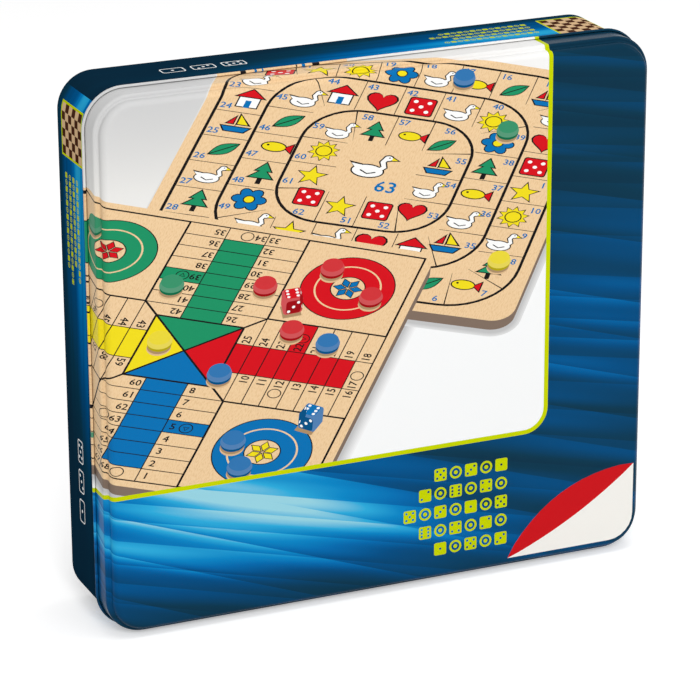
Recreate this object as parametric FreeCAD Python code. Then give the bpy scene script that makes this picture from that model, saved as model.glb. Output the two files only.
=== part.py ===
import FreeCAD, Part
import math
import os

from FreeCAD import Vector

# A tinplate game tin with a slip lid, standing on its lower edge.
# X runs along the width, -Y is the front (the lid's panel), Z is up.
# The origin lies on the floor, below the middle of the tin. All sizes are in millimetres.

# Game board
board_size = 210.0
board_thickness = 6.0
board_corner = 14.0
board_edge_round = 1.0

# Counters and dice
counter_diameter = 16.0
counter_thickness = 6.5
counter_edge_round = 1.2
die_size = 15.0
die_edge_round = 2.0
pip_diameter = 2.6
pip_depth = 0.6
pip_pitch = 3.9

# Folded rules leaflet, zigzag of three leaves
leaflet_width = 148.0
leaflet_height = 105.0
leaflet_paper = 0.25
leaflet_fold_radius = 0.25

# Thermoformed insert tray
tray_height = 34.0
tray_sheet = 0.8
tray_draft = 1.0
side_rim = 12.2
end_rim = 4.2
board_play = 0.5
tray_play = 0.5
well_play = 0.8
well_draft = 0.6
counter_headroom = 1.5
die_headroom = 1.5
well_pitch = 24.0
cluster_inset = 42.0
dice_well_width = 66.0
dice_well_height = 30.0
die_pitch = 36.0
arm_width = 40.0
arm_web = 7.0
pocket_corner = 6.0
scoop_radius = 12.0
scoop_depth = 12.0
scoop_web = 2.2

# Tinplate and the lid's fit on the base
sheet = 0.4
lid_play = 0.3
seat_gap = 0.3
corner_radius = 15.0
headspace = 7.15

# Base: recessed back panel, ring that it lies on, rolled rim
back_recess = 0.8
back_ring = 6.0
back_bend = 3.0
recess_angle = 60.0
rim_bend = 0.6

# Lid: raised panel, step down to the skirt, rolled hem
panel_inset = 1.3
panel_bend = 2.3
panel_riser = 0.8
skirt_depth = 8.6
hem_bend = 0.6
roll_angle = 270.0

colours = ["red", "blue", "green", "yellow"]

# Sizes that follow from the ones above
half_sheet = sheet / 2
rim_width = 2 * rim_bend + sheet
wall_to_board_x = rim_width + tray_play + side_rim + board_play
wall_to_board_z = rim_width + tray_play + end_rim + board_play
case_width = board_size + 2 * wall_to_board_x
case_height = board_size + 2 * wall_to_board_z
leaflet_thickness = leaflet_paper + 4 * leaflet_fold_radius
case_depth = (
    back_recess + sheet + tray_height + board_thickness + leaflet_thickness + headspace + sheet
)
skirt_offset = lid_play + half_sheet
step_bend = (panel_inset + half_sheet + skirt_offset) / 2
hem_offset = skirt_offset + 2 * hem_bend + half_sheet
centre_z = case_height / 2 + hem_offset
axis_x = case_width / 2 - corner_radius
axis_z = case_height / 2 - corner_radius
back_y = case_depth / 2
front_y = -case_depth / 2
tray_back_y = back_y - back_recess - sheet
deck_y = tray_back_y - tray_height
board_front_y = deck_y - board_thickness
well_depth = counter_thickness + counter_headroom
dice_well_depth = die_size + die_headroom


def bent_strip(start, heading, moves, thickness):
    """Face of a strip bent from runs (length,) and bends (centre line radius, angle), in (r, y)."""
    half = thickness / 2
    point = start
    angle = math.radians(heading)
    left_edges = []
    right_edges = []

    def side(centre, direction, distance):
        return Vector(
            centre[0] - math.sin(direction) * distance,
            centre[1] + math.cos(direction) * distance,
            0,
        )

    caps = [(side(point, angle, half), side(point, angle, -half))]
    for move in moves:
        if len(move) == 1:
            end = (point[0] + move[0] * math.cos(angle), point[1] + move[0] * math.sin(angle))
            for edges, distance in ((left_edges, half), (right_edges, -half)):
                edges.append(Part.makeLine(side(point, angle, distance), side(end, angle, distance)))
            point = end
            continue
        radius, degrees = move
        turn = math.copysign(1, degrees)
        centre = side(point, angle, turn * radius)
        turned = [angle + math.radians(degrees) * share for share in (0, 0.5, 1)]
        for edges, distance in ((left_edges, half), (right_edges, -half)):
            on_arc = [side(centre, way, distance - turn * radius) for way in turned]
            edges.append(Part.Arc(*on_arc).toShape())
        end = side(centre, turned[2], -turn * radius)
        point = (end.x, end.y)
        angle = turned[2]
    caps.append((side(point, angle, half), side(point, angle, -half)))
    cap_edges = [Part.makeLine(*cap) for cap in caps]
    outline = Part.Wire(Part.__sortEdges__(left_edges + right_edges + cap_edges))
    return Part.Face(outline)


def jog(width, angle):
    """Two opposite bends that shift a strip sideways by width."""
    radius = abs(width) / (2 * (1 - math.cos(math.radians(angle))))
    degrees = math.copysign(angle, width)
    return [(radius, degrees), (radius, -degrees)]


def jog_length(width, angle):
    """How far a jog runs along the strip."""
    return 2 * jog(width, angle)[0][0] * math.sin(math.radians(angle))


def drawn_shell(profile, panel_y):
    """Sweep a strip drawn in (r, y) round the tin's rounded outline and close it with its flat panel."""
    turn_axis = Vector(0, -1, 0)
    corners = [(1, 1), (-1, 1), (-1, -1), (1, -1)]
    runs = [
        Vector(0, 0, -2 * axis_z), Vector(2 * axis_x, 0, 0),
        Vector(0, 0, 2 * axis_z), Vector(-2 * axis_x, 0, 0),
    ]
    pieces = []
    for quarter, ((right, top), run) in enumerate(zip(corners, runs)):
        axis = Vector(right * axis_x, 0, centre_z + top * axis_z)
        face = profile.copy()
        face.rotate(Vector(0, 0, 0), turn_axis, quarter * 90)
        face.translate(axis)
        pieces.append(face.revolve(axis, turn_axis, 90))
        pieces.append(face.extrude(run))
    panel = Part.makeBox(
        2 * axis_x, sheet, 2 * axis_z,
        Vector(-axis_x, panel_y - half_sheet, centre_z - axis_z),
    )
    return panel.multiFuse(pieces).removeSplitter()


def rounded_rectangle(width, height, radius, x, z, y):
    """Wire of a rounded rectangle in the plane at y, centred on x, z."""
    half_w = width / 2
    half_h = height / 2
    diagonal = radius * (1 - math.sqrt(0.5))
    edges = []
    for right, top in ((1, 1), (-1, 1), (-1, -1), (1, -1)):
        on_side = Vector(x + right * half_w, y, z + top * (half_h - radius))
        on_end = Vector(x + right * (half_w - radius), y, z + top * half_h)
        middle = Vector(x + right * (half_w - diagonal), y, z + top * (half_h - diagonal))
        edges.append(Part.Arc(on_side, middle, on_end).toShape())
    for sign in (1, -1):
        edges.append(Part.makeLine(
            Vector(x + sign * half_w, y, z - half_h + radius),
            Vector(x + sign * half_w, y, z + half_h - radius)))
        edges.append(Part.makeLine(
            Vector(x - half_w + radius, y, z + sign * half_h),
            Vector(x + half_w - radius, y, z + sign * half_h)))
    return Part.Wire(Part.__sortEdges__(edges))


def drafted_block(width, height, radius, x, z, front, back, draft):
    """Solid between two rounded rectangles; the back one is smaller by draft on each side."""
    mouth = rounded_rectangle(width, height, radius, x, z, front)
    foot = rounded_rectangle(width - 2 * draft, height - 2 * draft, radius - draft, x, z, back)
    return Part.makeLoft([mouth, foot], True, True)


def drafted_well(radius, x, z, front, back, draft):
    """Round well that narrows by draft towards its floor."""
    return Part.makeCone(radius, radius - draft, back - front, Vector(x, front, z), Vector(0, 1, 0))


def make_lid():
    """Drawn slip lid: flat panel, rounded edge, step, skirt and outward rolled hem."""
    bend = panel_bend - half_sheet
    flat_end = corner_radius - panel_inset - panel_bend
    moves = [(flat_end,), (bend, 90.0), (panel_riser,)]
    moves += [(step_bend, -90.0), (step_bend, 90.0)]
    moves += [(skirt_depth,), (hem_bend, -roll_angle)]
    panel_y = front_y + half_sheet
    return drawn_shell(bent_strip((0, panel_y), 0, moves, sheet), panel_y)


def rim_front():
    """Where the base's rim ends: just behind the shoulder that the step makes inside the lid."""
    return front_y + panel_bend + panel_riser + step_bend + half_sheet + seat_gap


def make_base():
    """Drawn box: recessed back panel, ring, rounded edge, wall and inward rolled rim."""
    bend = back_bend - half_sheet
    ring_end = corner_radius - back_bend
    recess_length = jog_length(back_recess, recess_angle)
    wall = back_y - back_bend - rim_front() - rim_bend - half_sheet
    moves = [(ring_end - back_ring - recess_length,)]
    moves += jog(back_recess, recess_angle)
    moves += [(back_ring,), (bend, -90.0), (wall,), (rim_bend, -roll_angle)]
    panel_y = back_y - back_recess - half_sheet
    return drawn_shell(bent_strip((0, panel_y), 0, moves, sheet), panel_y)


def well_centres():
    """Well centres of each colour: a square of four in each corner of the tray."""
    reach = board_size / 2 - cluster_inset
    corners = [(1, 1), (-1, -1), (-1, 1), (1, -1)]
    square = [(-0.5, 0.5), (0.5, 0.5), (-0.5, -0.5), (0.5, -0.5)]
    centres = {}
    for colour, (right, top) in zip(colours, corners):
        centres[colour] = [
            (right * reach + u * well_pitch, centre_z + top * reach + v * well_pitch)
            for u, v in square
        ]
    return centres


def tray_pockets(wall):
    """Every hollow of the tray below its rim, grown by the wall thickness."""
    floor = tray_back_y - tray_sheet + wall
    nest = board_size + 2 * (board_play + wall)
    nest_corner = board_corner + board_play + wall
    pockets = [drafted_block(
        nest, nest, nest_corner, 0, centre_z, board_front_y, deck_y + wall, 0)]
    radius = counter_diameter / 2 + well_play + wall
    for centres in well_centres().values():
        for x, z in centres:
            pockets.append(drafted_well(radius, x, z, deck_y, deck_y + well_depth + wall, well_draft))
    pockets.append(drafted_block(
        dice_well_width + 2 * wall, dice_well_height + 2 * wall, pocket_corner + wall,
        0, centre_z, deck_y, deck_y + dice_well_depth + wall, tray_draft))
    arm_end = board_size / 2 - arm_web
    for sign in (1, -1):
        for across, half_well in ((True, dice_well_width / 2), (False, dice_well_height / 2)):
            arm_start = half_well + arm_web
            length = arm_end - arm_start + 2 * wall
            offset = sign * (arm_start + arm_end) / 2
            width, height = (length, arm_width + 2 * wall)
            x, z = (offset, centre_z)
            if not across:
                width, height = height, width
                x, z = (0, centre_z + offset)
            pockets.append(drafted_block(
                width, height, pocket_corner + wall, x, z, deck_y, floor, 2 * tray_draft))
        scoop_x = sign * (board_size / 2 + board_play + side_rim - scoop_web - scoop_radius)
        pockets.append(drafted_well(
            scoop_radius + wall, scoop_x, centre_z, board_front_y,
            board_front_y + scoop_depth + wall, tray_draft))
    return pockets


def tray_block(wall):
    """The tray's outer form, shrunk by the wall thickness at its sides and rim."""
    width = board_size + 2 * (board_play + side_rim - wall)
    height = board_size + 2 * (board_play + end_rim - wall)
    corner = corner_radius - rim_width - tray_play - wall
    return drafted_block(
        width, height, corner, 0, centre_z, board_front_y + wall, tray_back_y, tray_draft)


def make_tray():
    """Thermoformed tray: one sheet that follows the nest, wells, arms and finger scoops."""
    upper = tray_block(0).cut(tray_pockets(0))
    under = tray_block(tray_sheet).cut(tray_pockets(tray_sheet))
    return upper.cut(under).removeSplitter()


def make_board():
    """Wooden board with rounded corners and softened edges."""
    outline = Part.Face(rounded_rectangle(
        board_size, board_size, board_corner, 0, centre_z, board_front_y))
    board = outline.extrude(Vector(0, board_thickness, 0))
    rim = [edge for edge in board.Edges if edge.BoundBox.YLength < board_edge_round]
    return board.makeFillet(board_edge_round, rim)


def make_leaflet():
    """Paper sheet folded zigzag into three leaves, lying on the board."""
    leaf = leaflet_height - 2 * leaflet_fold_radius - leaflet_paper
    moves = [(leaf,), (leaflet_fold_radius, -180.0), (leaf,), (leaflet_fold_radius, 180.0), (leaf,)]
    start = (-leaf / 2, board_front_y - leaflet_paper / 2)
    section = bent_strip(start, 0, moves, leaflet_paper)
    section.rotate(Vector(0, 0, 0), Vector(0, -1, 0), 90)
    section.translate(Vector(-leaflet_width / 2, 0, centre_z))
    return section.extrude(Vector(leaflet_width, 0, 0))


def make_counter(x, z):
    """Turned disc with rounded edges, lying on the floor of its well."""
    radius = counter_diameter / 2
    back = deck_y + well_depth
    disc = Part.makeCylinder(radius, counter_thickness, Vector(x, back, z), Vector(0, -1, 0))
    rims = [edge for edge in disc.Edges if edge.BoundBox.YLength < counter_edge_round]
    return disc.makeFillet(counter_edge_round, rims)


def pip_places(count):
    """Pip places of one face, in steps of the pip pitch."""
    places = [(0, 0)] if count % 2 else []
    if count > 1:
        places += [(-1, -1), (1, 1)]
    if count > 3:
        places += [(-1, 1), (1, -1)]
    if count == 6:
        places += [(-1, 0), (1, 0)]
    return places


def make_die(x, front_count):
    """Rounded cube with dished pips; opposite faces add up to seven."""
    half = die_size / 2
    cube = Part.makeBox(die_size, die_size, die_size, Vector(-half, -half, -half))
    cube = cube.makeFillet(die_edge_round, cube.Edges)
    pip_ball = (pip_diameter ** 2 / 4 + pip_depth ** 2) / (2 * pip_depth)
    height = half - pip_depth + pip_ball
    side_counts = [count for count in (1, 2, 3) if count not in (front_count, 7 - front_count)]
    axes = [
        (front_count, Vector(0, -1, 0), Vector(1, 0, 0), Vector(0, 0, 1)),
        (side_counts[0], Vector(0, 0, 1), Vector(1, 0, 0), Vector(0, 1, 0)),
        (side_counts[1], Vector(1, 0, 0), Vector(0, 1, 0), Vector(0, 0, 1)),
    ]
    balls = []
    for count, normal, along, across in axes:
        for pips, sign in ((count, 1), (7 - count, -1)):
            for u, v in pip_places(pips):
                centre = normal * (sign * height) + along * (u * pip_pitch) + across * (v * pip_pitch)
                balls.append(Part.makeSphere(pip_ball, centre))
    die = cube.cut(balls)
    die.translate(Vector(x, deck_y + dice_well_depth - half, centre_z))
    return die


def main():
    """Build every piece and write it to its own file."""
    os.makedirs("parts", exist_ok=True)
    shapes = {
        "tin_base": make_base(),
        "tin_lid": make_lid(),
        "insert_tray": make_tray(),
        "game_board": make_board(),
        "rules_leaflet": make_leaflet(),
        "die_red": make_die(-die_pitch / 2, 5),
        "die_blue": make_die(die_pitch / 2, 3),
    }
    for colour, centres in well_centres().items():
        for number, (x, z) in enumerate(centres, start=1):
            shapes["counter_%s_%d" % (colour, number)] = make_counter(x, z)
    for name, shape in shapes.items():
        shape.exportStep(os.path.join("parts", name + ".step"))


main()
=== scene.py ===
import math
from bisect import bisect_right
from types import SimpleNamespace

import bmesh
import bpy
from bpy.props import FloatProperty, FloatVectorProperty, PointerProperty
from mathutils import Matrix, Vector
from mathutils.geometry import convex_hull_2d, delaunay_2d_cdt


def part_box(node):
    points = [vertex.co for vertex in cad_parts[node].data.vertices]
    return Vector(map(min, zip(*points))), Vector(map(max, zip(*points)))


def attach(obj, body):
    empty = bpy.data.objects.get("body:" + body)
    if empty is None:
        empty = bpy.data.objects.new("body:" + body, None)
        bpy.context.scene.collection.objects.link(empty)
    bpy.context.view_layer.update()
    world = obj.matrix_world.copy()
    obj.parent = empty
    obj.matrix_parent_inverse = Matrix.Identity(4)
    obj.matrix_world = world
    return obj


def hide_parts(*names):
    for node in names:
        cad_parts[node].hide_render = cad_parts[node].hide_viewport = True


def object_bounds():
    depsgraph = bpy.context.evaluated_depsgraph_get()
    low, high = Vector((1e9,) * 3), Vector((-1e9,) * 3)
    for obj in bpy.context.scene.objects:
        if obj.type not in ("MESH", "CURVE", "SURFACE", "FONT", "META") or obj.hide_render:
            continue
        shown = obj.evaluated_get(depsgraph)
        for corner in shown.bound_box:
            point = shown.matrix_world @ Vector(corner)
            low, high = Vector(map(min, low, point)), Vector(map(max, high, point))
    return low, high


# Looks of a printed game tin with its board, counters and dice.
# Artwork is drawn as outlines in millimetres and cut into the pieces' own faces.

bl_info = {
    "name": "Game tin",
    "version": (1, 0, 0),
    "blender": (4, 5, 0),
    "location": "View3D > Sidebar > Game tin",
    "description": "Printed slip-lid tin with a two-sided board, counters and dice",
    "category": "Object",
}

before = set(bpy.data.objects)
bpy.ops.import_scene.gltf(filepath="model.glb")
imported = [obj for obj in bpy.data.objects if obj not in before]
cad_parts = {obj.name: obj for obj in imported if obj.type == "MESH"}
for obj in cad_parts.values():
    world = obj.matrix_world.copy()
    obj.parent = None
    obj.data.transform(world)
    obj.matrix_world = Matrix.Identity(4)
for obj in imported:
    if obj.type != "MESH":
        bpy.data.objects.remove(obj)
cad_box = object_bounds()

MM = 0.001
SEATS = ("red", "blue", "green", "yellow")


def linear(code):
    """Linear colour of an sRGB hex value."""
    channels = [int(code[i:i + 2], 16) / 255 for i in (1, 3, 5)]
    return tuple(c / 12.92 if c <= 0.04045 else ((c + 0.055) / 1.055) ** 2.4 for c in channels)


def length(name, description, millimetres):
    """A length setting, given in millimetres."""
    return FloatProperty(name=name, description=description, default=millimetres * MM, unit="LENGTH")


def colour(name, description, code):
    """A colour setting, given as an sRGB hex value."""
    return FloatVectorProperty(
        name=name, description=description, default=linear(code), subtype="COLOR", size=3, min=0, max=1)


def half_sizes(node):
    """Middle and half sizes of a CAD node in millimetres."""
    low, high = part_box(node)
    return (low + high) / 2 / MM, (high - low) / 2 / MM


class TinSettings(bpy.types.PropertyGroup):
    """Sizes and print colours of the tin."""

    corner_radius: length("Corner radius", "Outer corner of the base", 15)
    sheet: length("Tinplate", "Thickness of the sheet", 0.4)
    panel_inset: length("Panel inset", "How far the raised panel stands inside the base's wall", 1.3)
    panel_bend: length("Panel edge", "Outer radius of the panel's rounded edge", 2.3)
    panel_riser: length("Panel riser", "Straight part between panel edge and step", 0.8)
    step_bend: length("Step radius", "Radius of the step's two bends", 1.0)
    skirt: length("Skirt", "Straight part of the lid's skirt", 8.6)
    hem_bend: length("Hem radius", "Radius of the rolled hem", 0.6)
    back_bend: length("Back edge", "Outer radius of the base's rounded back edge", 3)
    back_ring: length("Back ring", "Width of the ring that the base lies on", 6)
    back_recess: length("Back recess", "Depth of the recessed back panel", 0.8)
    rim_bend: length("Rim radius", "Radius of the base's rolled rim", 0.6)
    border: length("Border", "Width of the lime border round the picture", 1.9)
    lime: colour("Lime", "Border lines and small signs", "#C3D000")
    field: colour("Picture field", "Pale ground of the picture", "#F4F5F5")
    beech_print: colour("Printed beech", "Wood in the picture", "#ECCB9F")
    beech_print_dark: colour("Printed grain", "Grain in the picture's wood", "#D8B080")
    red_band: colour("Red band", "Band across the lid's lower corner", "#C8161D")
    corner_white: colour("Corner", "Pale corner below the red band", "#F1EFE9")
    navy: colour("Navy", "Plain dark print", "#082338")
    lid_gloss: FloatProperty(
        name="Lid gloss", description="Specular level of the lid's varnish", default=0.03)
    base_gloss: FloatProperty(
        name="Base gloss", description="Specular level of the base's varnish", default=0.0)


class BoardSettings(bpy.types.PropertyGroup):
    """Sizes and colours of the wooden board and its print."""

    corner: length("Corner radius", "Rounded corners of the board", 14)
    edge_round: length("Edge round", "Softened edges of the board", 1)
    line: length("Line", "Half width of the printed lines", 0.45)
    beech: colour("Beech", "Varnished beech", "#DDB98B")
    beech_dark: colour("Beech flecks", "Rays and grain of the beech", "#B98E5E")
    red: colour("Red", "Red print", "#D2141F")
    blue: colour("Blue", "Blue print", "#0A6FB0")
    green: colour("Green", "Green print", "#1F8F62")
    yellow: colour("Yellow", "Yellow print", "#EDD920")
    black: colour("Black", "Lines and numbers", "#1A1718")


class PieceSettings(bpy.types.PropertyGroup):
    """Sizes and colours of counters, dice, tray and leaflet."""

    counter_edge: length("Counter edge", "Rounded edge of a counter", 1.2)
    red: colour("Red", "Red plastic", "#C9151F")
    blue: colour("Blue", "Blue plastic", "#0B5FB0")
    green: colour("Green", "Green plastic", "#2C7A55")
    yellow: colour("Yellow", "Yellow plastic", "#EFD61A")
    pip: colour("Pips", "Painted pips of the dice", "#F2F1EC")
    tray: colour("Tray", "Thermoformed tray", "#E9E8E4")
    paper: colour("Paper", "Folded leaflet", "#F1EEE6")


class StageSettings(bpy.types.PropertyGroup):
    """Camera, floor and lamps."""

    azimuth: FloatProperty(
        name="Azimuth", description="Camera turn to the left of the front",
        default=math.radians(23.64), unit="ROTATION")
    elevation: FloatProperty(
        name="Elevation", description="Camera angle above the horizon",
        default=math.radians(19.75), unit="ROTATION")
    roll: FloatProperty(
        name="Roll", description="Camera turn about its own axis",
        default=math.radians(-0.23), unit="ROTATION")
    distance: length("Distance", "Camera distance from its aim", 1426)
    aim_side: length("Aim side", "Camera aim, from the tin's middle to the right", -4.05)
    aim_height: length("Aim height", "Camera aim above the tin's middle", -13.5)
    lens: FloatProperty(
        name="Lens", description="Focal length on a 36 mm frame", default=178.0, unit="CAMERA")
    floor: colour("Floor", "Pale floor", "#F7F7F7")
    floor_glow: FloatProperty(
        name="Floor glow", description="What the seen floor adds to reach white", default=0.38)
    ambient: FloatProperty(
        name="Ambient", description="Strength of the light from all sides", default=0.45)


def settings():
    """All settings of the scene."""
    return bpy.context.scene.game_tin


def in_millimetres(group):
    """The lengths of a settings group as plain numbers in millimetres."""
    rows = [p for p in group.bl_rna.properties if getattr(p, "unit", "NONE") == "LENGTH"]
    return SimpleNamespace(**{p.identifier: getattr(group, p.identifier) / MM for p in rows})


# Materials

# Range that most values of a noise pattern lie in
NOISE_LOW, NOISE_HIGH = 0.3, 0.7

# Orange peel of litho varnish: patch size, lowest and highest roughness, relief, sizes in millimetres
LITHO_VARNISH = (2.4, 0.18, 0.26, 0.006)

# Grey of the picture's upper left: middle, reach and amount, in print millimetres
FIELD_SHADE = ((-95.0, 116.0), (230.0, 95.0), 1.0)

# Streaks: scale at which a wave pattern has one band per unit, and the share of the crisp bands
WAVE_BAND = math.tau / 20
CRISP_SHARE = 0.2


def add_node(tree, kind, inputs=None, stops=None, **options):
    """Add a node, set its options, and set or link its inputs; stops fill a colour ramp."""
    node = tree.nodes.new(kind)
    for key, value in options.items():
        setattr(node, key, value)
    for key, value in (inputs or {}).items():
        if isinstance(value, bpy.types.NodeSocket):
            tree.links.new(value, node.inputs[key])
        else:
            node.inputs[key].default_value = value
    if stops:
        ramp = node.color_ramp.elements
        while len(ramp) < len(stops):
            ramp.new(1.0)
        for element, (position, shade) in zip(ramp, stops):
            element.position = position
            element.color = (*shade, 1.0)
    return node


def new_material(name, shade, **constants):
    """A material with one shader whose constant sockets are set; returns it with its tree and shader."""
    material = bpy.data.materials.new(name)
    material.use_nodes = True
    shader = material.node_tree.nodes["Principled BSDF"]
    shader.inputs["Base Color"].default_value = (*shade, 1.0)
    material.diffuse_color = (*shade, 1.0)
    for key, value in constants.items():
        shader.inputs[key.replace("_", " ").title().replace("Ior", "IOR")].default_value = value
    return material, material.node_tree, shader


def per_mm(millimetres):
    """Pattern scale whose features are about this large, for coordinates in metres."""
    return 1.0 / (millimetres * MM)


def uneven_gloss(tree, shader, vector, size, low, high, relief):
    """Roughness and relief that vary over patches of the given size in millimetres."""
    noise = add_node(tree, "ShaderNodeTexNoise", {"Vector": vector, "Scale": per_mm(size), "Detail": 3.0})
    spread = add_node(
        tree, "ShaderNodeMapRange",
        {"Value": noise.outputs["Fac"], "From Min": NOISE_LOW, "From Max": NOISE_HIGH,
         "To Min": low, "To Max": high})
    bump = add_node(
        tree, "ShaderNodeBump", {"Height": noise.outputs["Fac"], "Strength": 1.0, "Distance": relief * MM})
    tree.links.new(spread.outputs["Result"], shader.inputs["Roughness"])
    tree.links.new(bump.outputs["Normal"], shader.inputs["Normal"])


def plain_finish(name, shade, gloss, **constants):
    """A material of one colour; gloss holds patch size, lowest and highest roughness, and relief."""
    material, tree, shader = new_material(name, shade, **constants)
    place = add_node(tree, "ShaderNodeTexCoord")
    uneven_gloss(tree, shader, place.outputs["Object"], *gloss)
    return material


def blend(first, second, share):
    """Mix of two colours, by the share of the first."""
    return [share * a + (1 - share) * b for a, b in zip(first, second)]


def litho_ink(name, shade, gloss):
    """Lithographed ink under varnish on tinplate: even colour, soft gloss, faint orange peel."""
    return plain_finish(name, shade, LITHO_VARNISH, specular_ior_level=gloss)


def light_patch(tree, vector, middle, reach, amount):
    """Brightness that fades from a middle point over a reach, both in print millimetres."""
    scale = [1.0 / (r * MM) for r in reach]
    near = add_node(
        tree, "ShaderNodeMapping",
        {"Vector": vector, "Location": (-middle[0] * MM * scale[0], -middle[1] * MM * scale[1], 0.0),
         "Scale": (*scale, 1.0)})
    patch = add_node(
        tree, "ShaderNodeTexGradient", {"Vector": near.outputs["Vector"]}, gradient_type="SPHERICAL")
    smooth = add_node(
        tree, "ShaderNodeMapRange", {"Value": patch.outputs["Fac"], "To Max": amount},
        interpolation_type="SMOOTHSTEP")
    return smooth.outputs["Result"]


def litho_field(name, shade, gloss):
    """The picture's pale ground: white that greys towards the upper left, as a lit studio sheet."""
    material, tree, shader = new_material(name, shade, specular_ior_level=gloss)
    place = add_node(tree, "ShaderNodeUVMap", uv_map="print")
    tone = add_node(
        tree, "ShaderNodeValToRGB",
        {"Fac": light_patch(tree, place.outputs["UV"], *FIELD_SHADE)},
        stops=[(0.0, shade), (0.25, linear("#F0EFED")), (0.6, linear("#E4E3E0")), (1.0, linear("#CBCBCB"))])
    tree.links.new(tone.outputs["Color"], shader.inputs["Base Color"])
    uneven_gloss(tree, shader, place.outputs["UV"], *LITHO_VARNISH)
    return material


def ray_swing(tree, vector, pole, width, run, strength):
    """Brightness factor of rays that fan out from a far pole, each with one soft and one crisp side."""
    ray = add_node(
        tree, "ShaderNodeVectorMath", {0: vector, 1: (pole[0] * MM, pole[1] * MM, 0.0)}, operation="SUBTRACT")
    reach = add_node(tree, "ShaderNodeVectorMath", {0: ray.outputs["Vector"]}, operation="LENGTH")
    parts = add_node(tree, "ShaderNodeSeparateXYZ", {0: ray.outputs["Vector"]})
    angle = add_node(
        tree, "ShaderNodeMath", {0: parts.outputs["Y"], 1: parts.outputs["X"]}, operation="ARCTAN2")
    across = add_node(
        tree, "ShaderNodeMath", {0: angle.outputs["Value"], 1: math.hypot(*pole) * MM}, operation="MULTIPLY")
    along = add_node(
        tree, "ShaderNodeMath", {0: reach.outputs["Value"], 1: width / run}, operation="MULTIPLY")
    place = add_node(
        tree, "ShaderNodeCombineXYZ", {"X": along.outputs["Value"], "Y": across.outputs["Value"]})
    noise = add_node(
        tree, "ShaderNodeTexNoise",
        {"Vector": place.outputs["Vector"], "Scale": per_mm(2 * width), "Detail": 0.6})
    crisp = add_node(
        tree, "ShaderNodeTexWave",
        {"Vector": place.outputs["Vector"], "Scale": per_mm(2 * width) * WAVE_BAND, "Distortion": 9.0,
         "Detail": 1.0, "Detail Scale": 0.7}, bands_direction="Y", wave_profile="SAW")
    both = add_node(
        tree, "ShaderNodeMath", {0: crisp.outputs["Fac"], 1: CRISP_SHARE, 2: noise.outputs["Fac"]},
        operation="MULTIPLY_ADD")
    swing = add_node(
        tree, "ShaderNodeMapRange",
        {"Value": both.outputs["Value"], "From Min": 0.38, "From Max": 0.82,
         "To Min": 1.0 - strength, "To Max": 1.0 + strength})
    return swing.outputs["Result"]


def litho_streaks(name, rays, patches, ground, gloss):
    """Blue streak print under varnish: long soft rays that cross at flat angles, light in patches."""
    material, tree, shader = new_material(name, linear("#0B4F85"), specular_ior_level=gloss)
    place = add_node(tree, "ShaderNodeUVMap", uv_map="print")
    total = ground
    for patch in patches:
        light = light_patch(tree, place.outputs["UV"], *patch)
        added = add_node(tree, "ShaderNodeMath", {0: total, 1: light}, operation="ADD")
        total = added.outputs["Value"]
    for ray in rays:
        swing = ray_swing(tree, place.outputs["UV"], *ray)
        scaled = add_node(tree, "ShaderNodeMath", {0: total, 1: swing}, operation="MULTIPLY")
        total = scaled.outputs["Value"]
    tone = add_node(
        tree, "ShaderNodeValToRGB", {"Fac": total},
        stops=[(0.0, linear("#0D2638")), (0.15, linear("#0B374E")), (0.32, linear("#034C80")),
               (0.48, linear("#0468AA")), (0.62, linear("#0A84C2")), (0.78, linear("#2DA8D7")),
               (1.0, linear("#96D0DE"))])
    tree.links.new(tone.outputs["Color"], shader.inputs["Base Color"])
    uneven_gloss(tree, shader, place.outputs["UV"], *LITHO_VARNISH)
    return material


def litho_beech(name, light, dark, gloss):
    """Printed picture of beech: flat tan with short flecks along the grain."""
    material, tree, shader = new_material(name, light, specular_ior_level=gloss)
    place = add_node(tree, "ShaderNodeUVMap", uv_map="print")
    long_grain = add_node(
        tree, "ShaderNodeMapping",
        {"Vector": place.outputs["UV"], "Rotation": (0.0, 0.0, math.radians(62)), "Scale": (2.8, 1.0, 1.0)},
        vector_type="TEXTURE")
    grain = add_node(
        tree, "ShaderNodeTexNoise",
        {"Vector": long_grain.outputs["Vector"], "Scale": per_mm(0.5), "Detail": 1.0})
    tone = add_node(
        tree, "ShaderNodeValToRGB", {"Fac": grain.outputs["Fac"]},
        stops=[(0.3, blend(dark, light, 0.55)), (0.55, light), (1.0, light)])
    tree.links.new(tone.outputs["Color"], shader.inputs["Base Color"])
    uneven_gloss(tree, shader, place.outputs["UV"], *LITHO_VARNISH)
    return material


def bare_tinplate(name):
    """Rolled tinplate without print: bright grey metal with fine rolling lines."""
    material, tree, shader = new_material(name, linear("#CFD2D3"), metallic=1.0)
    place = add_node(tree, "ShaderNodeTexCoord")
    rolled = add_node(
        tree, "ShaderNodeMapping", {"Vector": place.outputs["Object"], "Scale": (0.03, 1.0, 1.0)})
    uneven_gloss(tree, shader, rolled.outputs["Vector"], 0.5, 0.30, 0.44, 0.002)
    return material


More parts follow.
